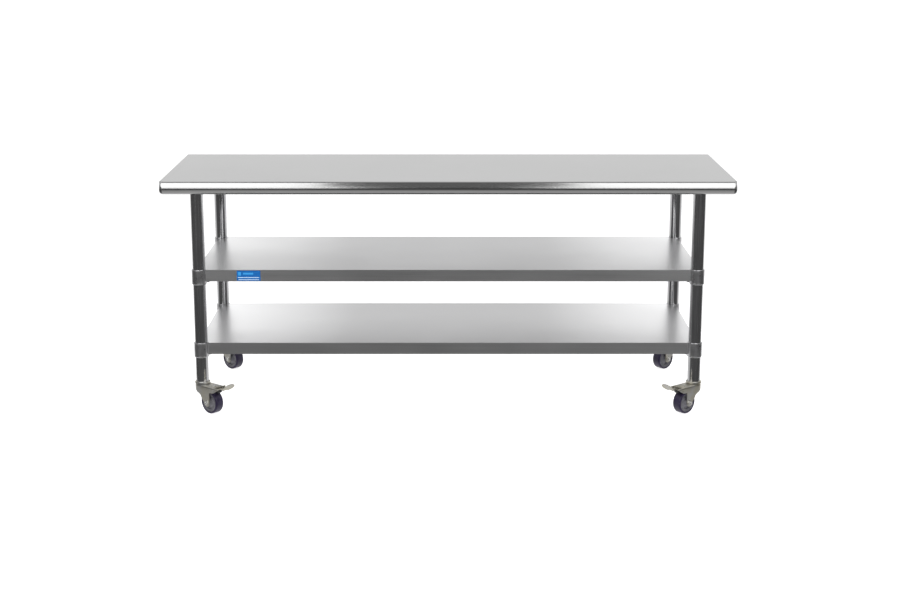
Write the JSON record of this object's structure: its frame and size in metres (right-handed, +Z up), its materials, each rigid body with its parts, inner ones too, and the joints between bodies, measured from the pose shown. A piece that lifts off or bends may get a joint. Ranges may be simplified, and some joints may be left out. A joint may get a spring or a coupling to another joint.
{
  "type": "work table on casters",
  "caption": "Stainless work table on swivel casters, with rolled long edges, round legs and two height-adjustable undershelves on clamped corner collars.",
  "frame": {"origin": "on the floor, under the middle of the worktop", "axes": "+X along the length, to the right seen from the front; +Y from the front to the rear; +Z up"},
  "size_m": [2.134, 0.8212, 0.889],
  "materials": {
    "stainless": "satin, brushed along the length",
    "galvanised": "satin galvanised sheet",
    "polished_tube": "polished tube",
    "casting": "satin casting",
    "zinc": "bright zinc plate with a faint yellow tint",
    "screw_steel": "oiled steel",
    "plug_rubber": "matte black",
    "hub_plastic": "moulded grey nylon",
    "tread_rubber": "semi-gloss dark purple polyurethane"
  },
  "bodies": {
    "frame": {"tabletop": "stainless", "long_channel": "galvanised", "left_channel": "galvanised", "right_channel": "galvanised", "socket_front_left": "galvanised", "socket_front_right": "galvanised", "socket_rear_left": "galvanised", "socket_rear_right": "galvanised", "socket_screws": "screw_steel", "leg_front_left": "polished_tube", "leg_front_right": "polished_tube", "leg_rear_left": "polished_tube", "leg_rear_right": "polished_tube", "leg_plugs": "plug_rubber", "stem_nuts": "screw_steel", "kingpins": "zinc", "swivel_balls": "screw_steel", "cap_front_left": "zinc", "cap_front_right": "zinc", "cap_rear_left": "zinc", "cap_rear_right": "zinc"},
    "middle_shelf": {"middle_shelf": "galvanised", "middle_stiffener": "galvanised", "middle_screws": "screw_steel", "middle_collar_front_left": "casting", "middle_collar_front_right": "casting", "middle_collar_rear_left": "casting", "middle_collar_rear_right": "casting"},
    "lower_shelf": {"lower_shelf": "galvanised", "lower_stiffener": "galvanised", "lower_screws": "screw_steel", "lower_collar_front_left": "casting", "lower_collar_front_right": "casting", "lower_collar_rear_left": "casting", "lower_collar_rear_right": "casting"},
    "caster_front_left": {"fork_front_left": "zinc", "axle_front_left": "zinc", "nut_front_left": "zinc", "pedal_pin_front_left": "zinc"},
    "wheel_front_left": {"hub_front_left": "hub_plastic", "tread_front_left": "tread_rubber"},
    "pedal_front_left": {"pedal_front_left": "zinc"},
    "caster_front_right": {"fork_front_right": "zinc", "axle_front_right": "zinc", "nut_front_right": "zinc", "pedal_pin_front_right": "zinc"},
    "wheel_front_right": {"hub_front_right": "hub_plastic", "tread_front_right": "tread_rubber"},
    "pedal_front_right": {"pedal_front_right": "zinc"},
    "caster_rear_left": {"fork_rear_left": "zinc", "axle_rear_left": "zinc", "nut_rear_left": "zinc"},
    "wheel_rear_left": {"hub_rear_left": "hub_plastic", "tread_rear_left": "tread_rubber"},
    "caster_rear_right": {"fork_rear_right": "zinc", "axle_rear_right": "zinc", "nut_rear_right": "zinc"},
    "wheel_rear_right": {"hub_rear_right": "hub_plastic", "tread_rear_right": "tread_rubber"}
  },
  "joints": [
    {"name": "middle_shelf_slide", "type": "slide", "parent": "frame", "child": "middle_shelf", "axis": [0, 0, 1], "range_m": [-0.1, 0.15]},
    {"name": "lower_shelf_slide", "type": "slide", "parent": "frame", "child": "lower_shelf", "axis": [0, 0, 1], "range_m": [-0.06, 0.08]},
    {"name": "swivel_front_left", "type": "hinge", "parent": "frame", "child": "caster_front_left", "pos_m": [-0.936, -0.322, 0.1], "axis": [0, 0, 1], "continuous": true},
    {"name": "swivel_front_right", "type": "hinge", "parent": "frame", "child": "caster_front_right", "pos_m": [0.936, -0.322, 0.1], "axis": [0, 0, 1], "continuous": true},
    {"name": "swivel_rear_left", "type": "hinge", "parent": "frame", "child": "caster_rear_left", "pos_m": [-0.936, 0.322, 0.1], "axis": [0, 0, 1], "continuous": true},
    {"name": "swivel_rear_right", "type": "hinge", "parent": "frame", "child": "caster_rear_right", "pos_m": [0.936, 0.322, 0.1], "axis": [0, 0, 1], "continuous": true},
    {"name": "spin_front_left", "type": "hinge", "parent": "caster_front_left", "child": "wheel_front_left", "pos_m": [-0.89675, -0.35612, 0.0445], "axis": [0.6561, 0.7547, 0], "continuous": true},
    {"name": "spin_front_right", "type": "hinge", "parent": "caster_front_right", "child": "wheel_front_right", "pos_m": [0.89675, -0.35612, 0.0445], "axis": [0.6561, -0.7547, 0], "continuous": true},
    {"name": "spin_rear_left", "type": "hinge", "parent": "caster_rear_left", "child": "wheel_rear_left", "pos_m": [-0.89675, 0.28789, 0.0445], "axis": [0.6561, 0.7547, 0], "continuous": true},
    {"name": "spin_rear_right", "type": "hinge", "parent": "caster_rear_right", "child": "wheel_rear_right", "pos_m": [0.89675, 0.28789, 0.0445], "axis": [0.6561, -0.7547, 0], "continuous": true},
    {"name": "brake_front_left", "type": "hinge", "parent": "caster_front_left", "child": "pedal_front_left", "pos_m": [-0.86959, -0.37973, 0.097], "axis": [0.6561, 0.7547, 0], "range_deg": [0, 12]},
    {"name": "brake_front_right", "type": "hinge", "parent": "caster_front_right", "child": "pedal_front_right", "pos_m": [0.86959, -0.37973, 0.097], "axis": [0.6561, -0.7547, 0], "range_deg": [0, 12]}
  ]
}
